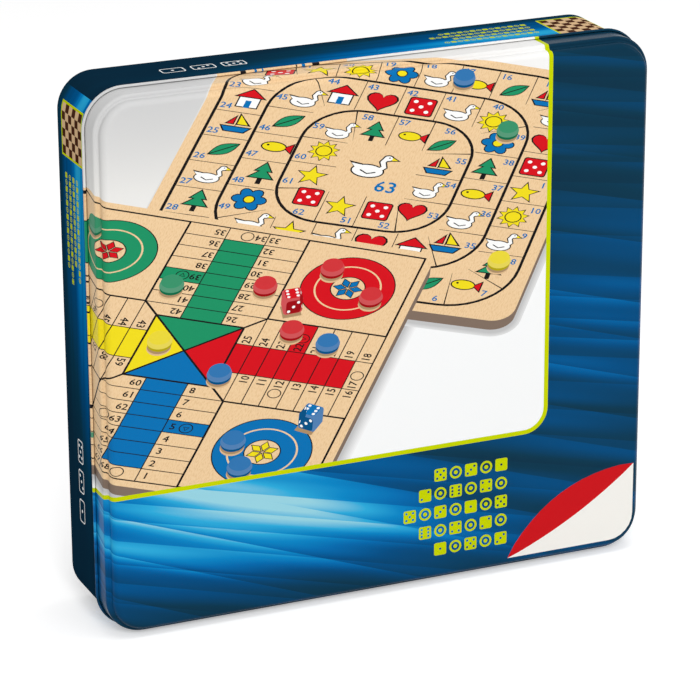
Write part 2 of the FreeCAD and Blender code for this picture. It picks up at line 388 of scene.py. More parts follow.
def varnished_beech(name, light, dark):
    """Beech under satin varnish: pinkish tan, long soft grain and short dark ray flecks."""
    material, tree, shader = new_material(name, light, coat_weight=0.1, coat_roughness=0.3)
    place = add_node(tree, "ShaderNodeTexCoord")
    along = add_node(
        tree, "ShaderNodeMapping", {"Vector": place.outputs["Object"], "Scale": (0.05, 1.0, 1.0)})
    grain = add_node(
        tree, "ShaderNodeTexNoise",
        {"Vector": along.outputs["Vector"], "Scale": per_mm(5.0), "Detail": 4.0, "Distortion": 0.4})
    short = add_node(
        tree, "ShaderNodeMapping", {"Vector": place.outputs["Object"], "Scale": (0.16, 1.0, 1.0)})
    fleck = add_node(
        tree, "ShaderNodeTexNoise", {"Vector": short.outputs["Vector"], "Scale": per_mm(0.9), "Detail": 1.0})
    fleck_dark = add_node(
        tree, "ShaderNodeMapRange",
        {"Value": fleck.outputs["Fac"], "From Min": 0.62, "From Max": 0.72, "To Max": 0.55})
    tone = add_node(
        tree, "ShaderNodeValToRGB", {"Fac": grain.outputs["Fac"]},
        stops=[(0.25, blend(dark, light, 0.35)), (0.6, light), (1.0, light)])
    # Inputs 6 and 7 and output 2 of a mix node are its colours
    mixed = add_node(
        tree, "ShaderNodeMix",
        {"Factor": fleck_dark.outputs["Result"], 6: tone.outputs["Color"], 7: (*dark, 1.0)}, data_type="RGBA")
    tree.links.new(mixed.outputs[2], shader.inputs["Base Color"])
    uneven_gloss(tree, shader, along.outputs["Vector"], 1.5, 0.38, 0.5, 0.02)
    return material


def screen_ink(name, shade):
    """Screen-printed ink on varnished wood: satin, with the grain just showing in its gloss."""
    material, tree, shader = new_material(name, shade, coat_weight=0.1, coat_roughness=0.3)
    place = add_node(tree, "ShaderNodeTexCoord")
    along = add_node(
        tree, "ShaderNodeMapping", {"Vector": place.outputs["Object"], "Scale": (0.05, 1.0, 1.0)})
    uneven_gloss(tree, shader, along.outputs["Vector"], 1.5, 0.34, 0.46, 0.015)
    return material


def moulded_plastic(name, shade, low, high):
    """Moulded polystyrene: clear even colour with a slightly wavy gloss."""
    return plain_finish(name, shade, (3.0, low, high, 0.02))


def folded_paper(name, shade):
    """Uncoated paper: warm white, matt, with a fine fibre tooth."""
    return plain_finish(name, shade, (0.6, 0.75, 0.95, 0.02))


# Outlines, in millimetres


def ellipse(x, y, across, up=None, count=20):
    """Points of an ellipse, or of a circle where up is left out."""
    up = across if up is None else up
    turns = [2 * math.pi * i / count for i in range(count)]
    return [(x + across * math.cos(t), y + up * math.sin(t)) for t in turns]


def arc_points(x, y, radius, start, end, steps):
    """Points along an arc from one angle to another, in degrees."""
    turns = [math.radians(start + (end - start) * i / steps) for i in range(steps + 1)]
    return [(x + radius * math.cos(t), y + radius * math.sin(t)) for t in turns]


def rectangle(x0, y0, x1, y1):
    """Corners of a rectangle."""
    return [(x0, y0), (x1, y0), (x1, y1), (x0, y1)]


def rounded(x0, y0, x1, y1, radius, count=5):
    """Rectangle with rounded corners."""
    points = []
    for quarter, (cx, cy) in enumerate((
            (x1 - radius, y1 - radius), (x0 + radius, y1 - radius),
            (x0 + radius, y0 + radius), (x1 - radius, y0 + radius))):
        for i in range(count + 1):
            turn = math.pi / 2 * (quarter + i / count)
            points.append((cx + radius * math.cos(turn), cy + radius * math.sin(turn)))
    return points


def star(x, y, outer, inner, tips):
    """Star with pointed tips, the first one up."""
    points = []
    for i in range(2 * tips):
        turn = math.pi / 2 + math.pi * i / tips
        reach = inner if i % 2 else outer
        points.append((x + reach * math.cos(turn), y + reach * math.sin(turn)))
    return points


def stroke(points, width):
    """Outline of a line of even width through the points."""
    left, right = [], []
    for i, (x, y) in enumerate(points):
        before = points[max(i - 1, 0)]
        after = points[min(i + 1, len(points) - 1)]
        dx, dy = after[0] - before[0], after[1] - before[1]
        size = math.hypot(dx, dy)
        ox, oy = -dy / size * width / 2, dx / size * width / 2
        left.append((x + ox, y + oy))
        right.append((x - ox, y - oy))
    return left + right[::-1]


def moved(points, x, y, size=1.0, turn=0.0):
    """Points scaled, turned by degrees and moved."""
    c, s = math.cos(math.radians(turn)) * size, math.sin(math.radians(turn)) * size
    return [(x + px * c - py * s, y + px * s + py * c) for px, py in points]


def area(points):
    """Signed area of an outline, positive where it runs counterclockwise."""
    pairs = zip(points, points[1:] + points[:1])
    return sum(x0 * y1 - x1 * y0 for (x0, y0), (x1, y1) in pairs) / 2


def pip_places(count):
    """Places of the pips on one face of a die, in pip pitches."""
    places = [(0, 0)] if count % 2 else []
    if count > 1:
        places += [(-1, -1), (1, 1)]
    if count > 3:
        places += [(-1, 1), (1, -1)]
    if count == 6:
        places += [(-1, 0), (1, 0)]
    return places


def open_edges(faces):
    """Directed edges that only one face uses, as a map from start to end."""
    edges = {(a, b) for face in faces for a, b in zip(face, face[1:] + face[:1])}
    return {a: b for a, b in edges if (b, a) not in edges}


def edge_loops(faces):
    """Closed loops of vertex numbers along the open edges of a set of faces."""
    following = open_edges(faces)
    loops = []
    while following:
        start, point = following.popitem()
        loop = [start]
        while point != start:
            loop.append(point)
            point = following.pop(point)
        loops.append(loop)
    return loops


# Digits: how far their outlines are pushed out, in font units, and their step, in heights
DIGIT_BOLD = 0.016
DIGIT_STEP = 0.68


def digit_outlines():
    """Outlines of the ten digits, one unit high and centred, from Blender's own font."""
    curve = bpy.data.curves.new("digit", "FONT")
    curve.resolution_u = 2
    curve.offset = DIGIT_BOLD
    text = bpy.data.objects.new("digit", curve)
    bpy.context.scene.collection.objects.link(text)
    digits = {}
    for digit in "0123456789":
        curve.body = digit
        evaluated = text.evaluated_get(bpy.context.evaluated_depsgraph_get())
        mesh = bpy.data.meshes.new_from_object(evaluated)
        points = [(v.co.x, v.co.y) for v in mesh.vertices]
        low = [min(p[i] for p in points) for i in (0, 1)]
        high = [max(p[i] for p in points) for i in (0, 1)]
        size = high[1] - low[1]
        middle = [(a + b) / 2 for a, b in zip(low, high)]
        loops = edge_loops([list(face.vertices) for face in mesh.polygons])
        digits[digit] = [
            [((points[i][0] - middle[0]) / size, (points[i][1] - middle[1]) / size) for i in loop]
            for loop in loops]
        bpy.data.meshes.remove(mesh)
    bpy.data.objects.remove(text)
    bpy.data.curves.remove(curve)
    return digits


class Artwork:
    """Inked outlines in print millimetres; later ones lie over earlier ones."""

    digits = None

    def __init__(self):
        self.outlines = []

    def add(self, points, ink, place=None, hole_of=None):
        """Add an outline; a hole shows what lies below its owner."""
        if place:
            points = [place(*point) for point in points]
        if area(points) < 0:
            points = points[::-1]
        self.outlines.append((points, ink, hole_of))
        return len(self.outlines) - 1

    def number(self, value, x, y, height, ink, place=None, turn=0.0):
        """Add a number centred on a point."""
        if Artwork.digits is None:
            Artwork.digits = digit_outlines()
        text = str(value)
        advance = DIGIT_STEP * height
        for i, digit in enumerate(text):
            shift = (i - (len(text) - 1) / 2) * advance
            cx, cy = moved([(shift, 0.0)], x, y, 1.0, turn)[0]
            loops = sorted(Artwork.digits[digit], key=area, reverse=True)
            owner = self.add(moved(loops[0], cx, cy, height, turn), ink, place)
            for loop in loops[1:]:
                self.add(moved(loop, cx, cy, height, turn), None, place, owner)

    def ring(self, x, y, radius, line, inside, place):
        """Add a black ring filled with another ink."""
        self.add(ellipse(x, y, radius), "black", place)
        self.add(ellipse(x, y, radius - line), inside, place)


# Printed boards, drawn from their middle

BOARD_HALF = 105.0
BOARD_DIGIT = 4.6

# The cross board's lines against the goose board's
CROSS_BOLD = 1.3


def draw_cross_board(art, place, line):
    """Cross-and-circle board: four arms of numbered squares, a home for each colour, a quartered middle."""
    edge, hub, rows, squares = 100.0, 24.0, 8, 68
    safe_row, safe_ring = 4, 3.7
    digit_from_line, digit_from_ring = 3.8, 7.6
    petal_middle, petal_long, petal_wide = 4.5, 4.2, 2.5
    cell = (edge - hub) / rows
    arm = hub + cell
    column = arm * 2 / 3
    home = (edge + arm) / 2
    line *= CROSS_BOLD
    thin, slant = 0.5 * line, 1.4 * line
    near, far = column / 2 + thin, arm - line
    petals = {"green": "red", "red": "blue", "blue": "yellow", "yellow": "green"}
    art.add(rectangle(-edge - line, -edge - line, edge + line, edge + line), "black", place)
    art.add(rectangle(-edge + line, -edge + line, edge - line, edge - line), "wood", place)
    for quarter, seat in enumerate(("green", "yellow", "blue", "red")):
        def turned(x, y, angle=math.pi / 2 * quarter):
            c, s = math.cos(angle), math.sin(angle)
            return place(x * c - y * s, x * s + y * c)

        last = squares // 4 * (quarter + 2) % squares
        art.add([(-arm - line, edge), (-arm - line, arm), (-hub, hub), (hub, hub), (arm + line, arm),
                 (arm + line, edge)], "black", turned)
        for row in range(rows):
            y0, y1 = edge - (row + 1) * cell + thin, edge - row * cell - thin
            mid_y = (y0 + y1) / 2
            way = seat if row else "wood"
            art.add(rectangle(thin - column / 2, y0, column / 2 - thin, y1), way, turned)
            if row == 0:
                art.ring(0, mid_y, safe_ring, line, "wood", turned)
                art.number(last or squares, digit_from_ring, mid_y, BOARD_DIGIT, "black", turned, 180)
            for side in (-1, 1):
                start = side < 0 and row == safe_row
                ink = seat if start else "wood"
                bend = [(side * far, y0), (side * far, y1)]
                if row == rows - 1:
                    bend = [(side * (y - line - thin), y) for y in (y0, y1)]
                art.add([(side * near, y0), *bend, (side * near, y1)], ink, turned)
                if row == safe_row:
                    art.ring(side * column, mid_y, safe_ring, line, ink, turned)
                if start:
                    for tip, shade in ((2.0, "black"), (1.3, ink)):
                        art.add(star(-column, mid_y, tip, tip / 2, 3), shade, turned)
                number = last - row - 1 if side > 0 else last + row + 1
                digit_x = side * (near + digit_from_line)
                art.number(number % squares, digit_x, mid_y, BOARD_DIGIT, "black", turned, 180)
        art.add([(-hub - line, hub + line), (0, 0), (hub + line, hub + line)], "black", turned)
        inside = hub - line
        art.add([(slant - inside, inside), (0, slant), (inside - slant, inside)], seat, turned)
        for radius, ink in ((25.9, "black"), (25.3, seat), (18.3, "wood"), (17.3, seat), (9.6, "black"),
                            (9.0, "wood")):
            art.add(ellipse(-home, home, radius, count=56), ink, turned)
        for petal in range(6):
            for size, ink in ((1.0, "black"), (0.78, petals[seat])):
                up, out = petal_long * size, petal_wide * size
                shape = [(0, petal_middle - up), (out, petal_middle),
                         (0, petal_middle + up), (-out, petal_middle)]
                art.add(moved(shape, -home, home, 1.0, 60 * petal), ink, turned)


def goose_sign():
    """A plain goose, facing right."""
    neck = [(0.28, -0.25), (0.50, 0.05), (0.36, 0.38), (0.47, 0.66)]
    return [
        (ellipse(-0.12, -0.32, 0.74, 0.46, 22), "black"),
        ([(-0.62, -0.34), (-1.06, 0.2), (-0.4, 0.1)], "black"),
        (stroke(neck, 0.36), "black"),
        (ellipse(0.53, 0.66, 0.25, 0.23, 14), "black"),
        ([(0.62, 0.86), (1.1, 0.56), (0.6, 0.46)], "black"),
        ([(0.7, 0.74), (0.98, 0.58), (0.7, 0.54)], "yellow"),
        (ellipse(-0.12, -0.32, 0.67, 0.39, 22), "white"),
        ([(-0.6, -0.3), (-0.94, 0.08), (-0.4, 0.02)], "white"),
        (stroke(neck, 0.22), "white"),
        (ellipse(0.53, 0.66, 0.18, 0.16, 14), "white"),
        (stroke([(-0.45, -0.3), (-0.1, -0.5), (0.25, -0.35)], 0.07), "black"),
        (ellipse(0.57, 0.7, 0.045, count=6), "black"),
    ]


def heart(size, drop=0.0):
    """Heart outline of half size 1."""
    points = []
    for i in range(24):
        t = 2 * math.pi * i / 24
        across = 16 * math.sin(t) ** 3
        up = 13 * math.cos(t) - 5 * math.cos(2 * t) - 2 * math.cos(3 * t) - math.cos(4 * t)
        points.append((across / 17 * size, up / 17 * size + drop))
    return points


def leaf(size):
    """Pointed leaf that leans to the right."""
    bow = [math.sin(math.pi * i / 8) * 0.45 * size for i in range(9)]
    run = [(-1 + i / 4) * size for i in range(9)]
    side = list(zip(run, bow)) + [(x, -b) for x, b in list(zip(run, bow))[-2:0:-1]]
    return moved(side, 0, 0, 1.0, 40)


def sign_outlines():
    """Small simple signs for the goose board, of half size 1, with their inks."""
    rays = star(0, 0, 0.98, 0.62, 10)
    petals = [moved(ellipse(0.52, 0, 0.4, 0.3, 12), 0, 0, 1.0, 60 * i) for i in range(6)]
    wide_petals = [moved(ellipse(0.52, 0, 0.47, 0.37, 12), 0, 0, 1.0, 60 * i) for i in range(6)]
    pips = [(ellipse(0.4 * x, 0.4 * y, 0.14, count=8), "white") for x, y in pip_places(5)]
    return [
        [(rays, "black"), (star(0, 0, 0.86, 0.58, 10), "yellow"), (ellipse(0, 0, 0.5), "black"),
         (ellipse(0, 0, 0.43), "yellow")],
        [(heart(0.98), "black"), (heart(0.86, 0.01), "red")],
        [(leaf(1.0), "black"), (leaf(0.88), "green"), (stroke([(-0.75, -0.62), (0.6, 0.5)], 0.07), "black")],
        [(p, "black") for p in wide_petals] + [(p, "blue") for p in petals]
        + [(ellipse(0, 0, 0.33), "black"), (ellipse(0, 0, 0.26), "yellow")],
        [(rounded(-0.8, -0.8, 0.8, 0.8, 0.2), "black"), (rounded(-0.72, -0.72, 0.72, 0.72, 0.15), "red"),
         *pips],
        [([(-0.95, -0.2), (0.95, -0.2), (0.6, -0.75), (-0.6, -0.75)], "black"),
         ([(-0.8, -0.28), (0.8, -0.28), (0.54, -0.67), (-0.54, -0.67)], "blue"),
         ([(-0.08, -0.2), (-0.08, 0.98), (0.82, -0.08), (0.0, -0.08)], "black"),
         ([(0.02, 0.0), (0.02, 0.78), (0.62, 0.0)], "yellow"),
         ([(-0.16, -0.08), (-0.16, 0.8), (-0.72, -0.08)], "black"),
         ([(-0.23, -0.01), (-0.23, 0.58), (-0.58, -0.01)], "red")],
        [(rectangle(-0.14, -0.95, 0.14, -0.4), "black"),
         ([(-0.8, -0.5), (0.8, -0.5), (0.3, 0.1), (0.55, 0.1), (0, 0.98), (-0.55, 0.1), (-0.3, 0.1)],
          "black"),
         ([(-0.63, -0.42), (0.63, -0.42), (0.16, 0.17), (0.42, 0.17), (0, 0.84), (-0.42, 0.17),
           (-0.16, 0.17)], "green")],
        [(star(0, -0.05, 1.0, 0.42, 5), "black"), (star(0, -0.05, 0.82, 0.36, 5), "yellow")],
        [(rectangle(-0.65, -0.8, 0.65, 0.2), "black"), (rectangle(-0.57, -0.72, 0.57, 0.2), "white"),
         ([(-0.95, 0.1), (0.95, 0.1), (0, 0.95)], "black"), ([(-0.76, 0.18), (0.76, 0.18), (0, 0.84)], "red"),
         (rectangle(-0.17, -0.8, 0.17, -0.15), "blue")],
        [(ellipse(-0.1, 0, 0.72, 0.44, 22), "black"), ([(0.4, 0), (0.98, 0.5), (0.98, -0.5)], "black"),
         (ellipse(-0.1, 0, 0.64, 0.36, 22), "yellow"), ([(0.52, 0), (0.9, 0.36), (0.9, -0.36)], "red"),
         (ellipse(-0.45, 0.1, 0.08, count=8), "black")],
    ]


def loop_point(half, corner, share):
    """Point and outward direction on a rounded square, by its share of the way round."""
    straight = 2 * (half - corner)
    arc = math.pi / 2 * corner
    run = share % 1.0 * 4 * (straight + arc)
    quarter = int(run // (straight + arc)) % 4
    run -= quarter * (straight + arc)
    turn = math.pi / 2 * quarter
    if run < straight:
        local, facing = (-straight / 2 + run, -half), -math.pi / 2
    else:
        facing = -math.pi / 2 + (run - straight) / corner
        local = (half - corner + corner * math.cos(facing), corner - half + corner * math.sin(facing))
    x, y = moved([local], 0, 0, 1.0, math.degrees(turn))[0]
    return x, y, math.cos(facing + turn), math.sin(facing + turn)


def beside(spot, out, on):
    """Point outwards and along from a spot on a loop, which is a point and its outward direction."""
    x, y, nx, ny = spot
    return x + out * nx - on * ny, y + out * ny + on * nx


def draw_goose_board(art, place, line):
    """Goose game: a track of 62 squares in three rounds, with simple signs, and the goal in the middle."""
    width, steps, bold = 25.0, 6, 2.6 * line
    sign_size, sign_in, sign_on = 0.44, 2.2, 1.2
    digit_from_rim, digit_from_end = 4.2, 4.6
    signs = sign_outlines()
    geese = {5, 9, 14, 18, 23, 27, 32, 36, 41, 45, 50, 54, 59}
    number = 1
    for half, corner, cells in ((85.0, 22.0, 30), (59.5, 20.0, 20), (34.0, 15.0, 12)):
        edge, inner = half + width / 2 + bold, half - width / 2
        art.add(rounded(-edge, -edge, edge, edge, corner + width / 2 + bold, 10), "black", place)
        pitch = (8 * (half - corner) + 2 * math.pi * corner) / cells
        gap = 0.5 * line / pitch / cells
        for i in range(cells):
            shares = [(i + k / steps) / cells for k in range(steps + 1)]
            shares[0] += gap
            shares[-1] -= gap
            rim = [loop_point(half, corner, share) for share in shares]
            far = [beside(spot, width / 2 - line, 0.0) for spot in rim]
            near = [beside(spot, -width / 2, 0.0) for spot in rim]
            art.add(far + near[::-1], "wood", place)
            middle = rim[steps // 2]
            sign = goose_sign() if number in geese else signs[number * 7 % len(signs)]
            for points, ink in sign:
                art.add(moved(points, *beside(middle, -sign_in, -sign_on), sign_size * pitch), ink, place)
            digit_place = beside(middle, width / 2 - digit_from_rim, pitch / 2 - digit_from_end)
            art.number(number, *digit_place, BOARD_DIGIT, "blue", place)
            number += 1
        art.add(rounded(-inner, -inner, inner, inner, max(corner - width / 2, 2), 8), "wood", place)
    for points, ink in goose_sign():
        art.add(moved(points, -3.0, 3.0, size=12.5), ink, place)
    art.number(number, 9.0, -12.0, height=9.0, ink="blue", place=place)


# Sheet-metal forms

# Turns in degrees: a rolled hem or rim, and each of the two bends into the recessed back
ROLLED = -270.0
RECESS_TURN = 60.0


def bent_side(start, moves, offset, facing, steps=8):
    """Points (r, y, normal r, normal y) along one side of a bent strip that sets out in direction +r."""
    r, y = start
    angle = 0.0
    points = [(r, y + offset, 0.0, facing)]

    def beside(distance):
        return r - math.sin(angle) * distance, y + math.cos(angle) * distance

    for move in moves:
        if len(move) == 1:
            r += move[0] * math.cos(angle)
            y += move[0] * math.sin(angle)
            points.append((*beside(offset), -math.sin(angle) * facing, math.cos(angle) * facing))
            continue
        radius, degrees = move
        turn = math.copysign(radius, degrees)
        centre = beside(turn)
        for _ in range(steps):
            angle += math.radians(degrees) / steps
            r = centre[0] + math.sin(angle) * turn
            y = centre[1] - math.cos(angle) * turn
            points.append((*beside(offset), -math.sin(angle) * facing, math.cos(angle) * facing))
    return points


class Shell:
    """A drawn form: a flat panel that goes on along a bent profile round a rounded rectangle."""

    def __init__(self, axis, middle, printed, rest, inked_rows=0, arc_steps=14):
        self.axis = axis
        self.middle = middle
        self.printed = printed
        self.rest = rest
        self.inked_rows = inked_rows
        self.arc_steps = arc_steps
        self.runs = [printed[0][0]]
        for (r0, y0, _, _), (r1, y1, _, _) in zip(printed, printed[1:]):
            self.runs.append(self.runs[-1] + math.hypot(r1 - r0, y1 - y0))

    def contour(self, reach):
        """Rounded rectangle at a reach from the corner axes, counterclockwise."""
        ax, az = self.axis
        return rounded(-ax - reach, -az - reach, ax + reach, az + reach, reach, self.arc_steps)

    def foot(self, u, v):
        """Nearest point on the rectangle of corner axes, direction from there, and reach."""
        ax, az = self.axis
        cu, cv = max(-ax, min(ax, u)), max(-az, min(az, v))
        reach = math.hypot(u - cu, v - cv)
        if reach < 1e-9:
            return cu, cv, 0.0, 0.0, 0.0
        return cu, cv, (u - cu) / reach, (v - cv) / reach, reach

    def on_form(self, u, v):
        """Place and normal on the form of a point of the flat print."""
        cu, cv, nu, nv, reach = self.foot(u, v)
        if reach <= self.runs[0]:
            _, y, _, ny = self.printed[0]
            return (u, y, v), (0.0, ny, 0.0)
        k = min(bisect_right(self.runs, reach), len(self.runs) - 1)
        share = min(1.0, (reach - self.runs[k - 1]) / (self.runs[k] - self.runs[k - 1]))
        r, y, nr, ny = (a + (b - a) * share for a, b in zip(self.printed[k - 1], self.printed[k]))
        return (cu + nu * r, y, cv + nv * r), (nu * nr, ny, nv * nr)


def cut_print(shell, art, ground, seams=()):
    """Cut the artwork into a shell's printed side: flat points, triangles and the ink of each."""
    points, edges = [], []
    faces = [list(range(len(shell.contour(1.0))))]
    points += shell.contour(shell.runs[-1])
    for reach in shell.runs[:-1]:
        loop = shell.contour(reach)
        ids = range(len(points), len(points) + len(loop))
        edges += list(zip(ids, list(ids[1:]) + [ids[0]]))
        points += loop
    for seam in seams:
        edges.append((len(points), len(points) + 1))
        points += seam
    inks, holes = {0: ground}, {}
    for outline, ink, hole_of in art.outlines:
        faces.append(list(range(len(points), len(points) + len(outline))))
        points += outline
        inks[len(faces) - 1] = ink
        if hole_of is not None:
            holes[len(faces) - 1] = hole_of + 1
    flat, _, triangles, _, _, origins = delaunay_2d_cdt(
        [Vector(p) for p in points], edges, faces, 1, 1e-4, True)
    kept, shown = [], []
    for triangle, origin in zip(triangles, origins):
        if 0 not in origin:
            continue
        below = set()
        for face in sorted(origin, reverse=True):
            if face in holes:
                below.add(holes[face])
            elif face not in below:
                kept.append(list(triangle))
                shown.append(inks[face])
                break
    return flat, kept, shown


def shell_mesh(name, sides, materials, bare, print_place=None):
    """One closed mesh from printed shells; each side is (shell, artwork, ground ink, front, seams)."""
    inks = list(materials)
    positions, normals, prints = [], [], []
    faces, slots = [], []
    welded = {}

    def vertex(place, normal, flat):
        key = tuple(round(c, 3) for c in place)
        if key in welded:
            return welded[key]
        welded[key] = len(positions)
        positions.append(place)
        normals.append(normal)
        prints.append(flat)
        return welded[key]

    for shell, art, ground, front, seams in sides:
        flat, triangles, shown = cut_print(shell, art, ground, seams)
        ids = {}
        for i in sorted({i for triangle in triangles for i in triangle}):
            place, normal = shell.on_form(*flat[i])
            ids[i] = vertex(place, normal, tuple(flat[i]))
        for triangle, ink in zip(triangles, shown):
            face = [ids[i] for i in triangle]
            if len(set(face)) == 3:
                faces.append(face if front else face[::-1])
                slots.append(inks.index(ink))
        if not shell.rest:
            continue
        following = open_edges(triangles)
        edge_inks = {edge: ink for triangle, ink in zip(triangles, shown)
                     for edge in zip(triangle, triangle[1:] + triangle[:1])}
        feet = {i: shell.foot(*flat[i]) for i in following}
        rings = {i: [ids[i]] for i in following}
        for i, (cu, cv, nu, nv, _) in feet.items():
            for r, y, nr, ny in shell.rest:
                rings[i].append(vertex((cu + nu * r, y, cv + nv * r), (nu * nr, ny, nv * nr), tuple(flat[i])))
        for a, b in following.items():
            for k in range(len(shell.rest)):
                face = [rings[b][k], rings[a][k], rings[a][k + 1], rings[b][k + 1]]
                faces.append(face if front else face[::-1])
                slots.append(inks.index(edge_inks[a, b] if k < shell.inked_rows else bare))
        loop = [rings[i][-1] for i in edge_loops(triangles)[0]]
        faces.append(loop[::-1] if front else loop)
        slots.append(inks.index(bare))

    middle = sides[0][0].middle
    mesh = bpy.data.meshes.new(name)
    mesh.from_pydata([Vector(p) * MM + Vector(middle) * MM for p in positions], [], faces)
    for material in materials.values():
        mesh.materials.append(material)
    mesh.polygons.foreach_set("material_index", slots)
    mesh.polygons.foreach_set("use_smooth", [True] * len(faces))
    layer = mesh.uv_layers.new(name="print")
    for polygon in mesh.polygons:
        corners = [prints[i] for i in polygon.vertices]
        if print_place:
            corners = print_place(corners)
        for loop, (u, v) in zip(polygon.loop_indices, corners):
            layer.data[loop].uv = (u * MM, v * MM)
    mesh.update()
    mesh.normals_split_custom_set_from_vertices([Vector(n).normalized() for n in normals])
    return mesh


def place_piece(name, mesh, body, slot, *nodes):
    """Add a finished piece that stands for CAD nodes and rides on their body."""
    piece = bpy.data.objects.new(name, mesh)
    bpy.context.scene.collection.objects.link(piece)
    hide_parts(*nodes)
    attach(piece, body)


def smooth_copy(name, node, angle=30.0):
    """Merged copy of a CAD node's mesh, smooth apart from its sharp edges."""
    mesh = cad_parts[node].data.copy()
    mesh.name = name
    work = bmesh.new()
    work.from_mesh(mesh)
    bmesh.ops.remove_doubles(work, verts=work.verts, dist=0.002 * MM)
    work.to_mesh(mesh)
    work.free()
    mesh.materials.clear()
    mesh.shade_smooth()
    mesh.set_sharp_from_angle(angle=math.radians(angle))
    return mesh


def tin_profiles():
    """Lid and base as shells, built from the same sizes as the solids."""
    tin = in_millimetres(settings().tin)
    middle, half = half_sizes("tin_base")
    lid_low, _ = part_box("tin_lid")
    half_sheet = tin.sheet / 2
    axis = (half.x - tin.corner_radius, half.z - tin.corner_radius)
    centre = (middle.x, 0.0, middle.z)

    panel_y = lid_low.y / MM + half_sheet
    start = (tin.corner_radius - tin.panel_inset - tin.panel_bend, panel_y)
    step = [(tin.step_bend, -90.0), (tin.step_bend, 90.0)]
    moves = [(tin.panel_bend - half_sheet, 90.0), (tin.panel_riser,), *step, (tin.skirt,)]
    hem = [(tin.hem_bend, ROLLED)]
    printed = bent_side(start, moves, -half_sheet, -1.0)
    outer = bent_side(start, moves + hem, -half_sheet, -1.0)
    inner = bent_side(start, moves + hem, half_sheet, 1.0)
    rolled = outer[len(printed):]
    lid = Shell(axis, centre, printed, rolled + inner[::-1], 2 * len(rolled) + 1)

    recess = tin.back_recess
    recess_run = 2 * recess * math.sin(math.radians(RECESS_TURN))
    panel_y = (middle.y + half.y) - recess - half_sheet
    flat = tin.corner_radius - tin.back_bend - tin.back_ring - recess_run
    rim_y = (middle.y - half.y) + tin.rim_bend + half_sheet
    wall = (middle.y + half.y) - tin.back_bend - rim_y
    moves = [(recess, RECESS_TURN), (recess, -RECESS_TURN), (tin.back_ring,),
             (tin.back_bend - half_sheet, -90.0), (wall,)]
    rim = [(tin.rim_bend, ROLLED)]
    printed = bent_side((flat, panel_y), moves, half_sheet, 1.0)
    outer = bent_side((flat, panel_y), moves + rim, half_sheet, 1.0)
    inner = bent_side((flat, panel_y), moves + rim, -half_sheet, -1.0)
    base = Shell(axis, centre, printed, outer[len(printed):] + inner[::-1])
    return lid, base


# The lid's picture: both boards, counters and dice on a white table

# How the table is looked at: tilt, roll, distance of the eye, scale and place on the lid
PICTURE_TILT = math.radians(40)
PICTURE_ROLL = -5.5
PICTURE_FAR = 2000.0
PICTURE_SCALE = 0.85
PICTURE_MIDDLE = (-60.0, -31.0)

# Boards on the table: place, turn and size
GOOSE_PLACE = (59.0, 202.0, -15.2, 1.05)
CROSS_PLACE = (-36.0, 58.0, -17.0, 1.0)
BOARD_THICK = 6.0
BOARD_CORNER = 12.0

# Counters on each board: place and seat
GOOSE_COUNTERS = ((-20, -86, "red"), (86, -60, "yellow"), (60, 46, "green"), (24, 84, "blue"))
CROSS_COUNTERS = (
    (-82, 78, "green"), (54, 78, "red"), (82, 60, "red"), (24, 56, "red"), (-24, 46, "green"),
    (72, 19, "blue"), (50, 25, "red"), (-14, 2, "yellow"), (25, -16, "blue"), (50, -64, "blue"),
    (60, -82, "blue"), (-30, -88, "green"))
COUNTER_RADIUS = 6.5
COUNTER_THICK = 4.3

# Dice: half size, flat share of a face, rounding of a face, pips and shadow
DIE_HALF = 5.0
DIE_FLAT = 0.8
DIE_ROUND = 0.3
PIP_PITCH = 0.5
PIP_RADIUS = 0.18
DIE_SHADOW = (0.6, 1.6)

# Soft shadow of a board: number of shades, the lightest, their step, reach and drop
SHADES = 7
SHADE_LIGHT = 0.86
SHADE_STEP = 0.055
SHADOW_REACH = 6.0
SHADOW_DROP = 2.0


def pictured(x, y, height=0.0):
    """Where a point of the pictured table lands on the lid, in print millimetres."""
    depth = y * math.cos(PICTURE_TILT) - height * math.sin(PICTURE_TILT)
    rise = y * math.sin(PICTURE_TILT) + height * math.cos(PICTURE_TILT)
    zoom = PICTURE_SCALE * PICTURE_FAR / (PICTURE_FAR + depth)
    return moved([(x * zoom, rise * zoom)], *PICTURE_MIDDLE, 1.0, PICTURE_ROLL)[0]


def hull(points):
    """Convex outline round the points."""
    return [points[i] for i in convex_hull_2d([Vector(p) for p in points])]


def board_outline(x, y, turn, size, spread=0.0):
    """Outline of a board on the pictured table, grown by a spread."""
    reach = BOARD_HALF + spread
    return moved(rounded(-reach, -reach, reach, reach, BOARD_CORNER + spread, 8), x, y, size, turn)


def draw_shadow(art, x, y, turn, size, lightest):
    """Soft shadow of a board on the pictured table: nested outlines, darker towards the board."""
    for i in range(lightest, SHADES):
        outline = board_outline(x, y - SHADOW_DROP, turn, size, SHADOW_REACH * (1 - i / SHADES))
        art.add([pictured(*p) for p in outline], "shade_%d" % i)


def draw_pictured_board(art, x, y, turn, size, draw, line):
    """A board on the pictured table, with its thickness and its print; returns places on its top."""
    outline = board_outline(x, y, turn, size)
    top = [pictured(px, py, BOARD_THICK) for px, py in outline]
    foot = [pictured(px, py, 0.0) for px, py in outline]
    art.add(hull(top + foot), "wood_edge")
    art.add(top, "wood")

    def on_board(a, b):
        return moved([(a, b)], x, y, size, turn)[0]

    draw(art, lambda a, b: pictured(*on_board(a, b), BOARD_THICK), line)
    return on_board


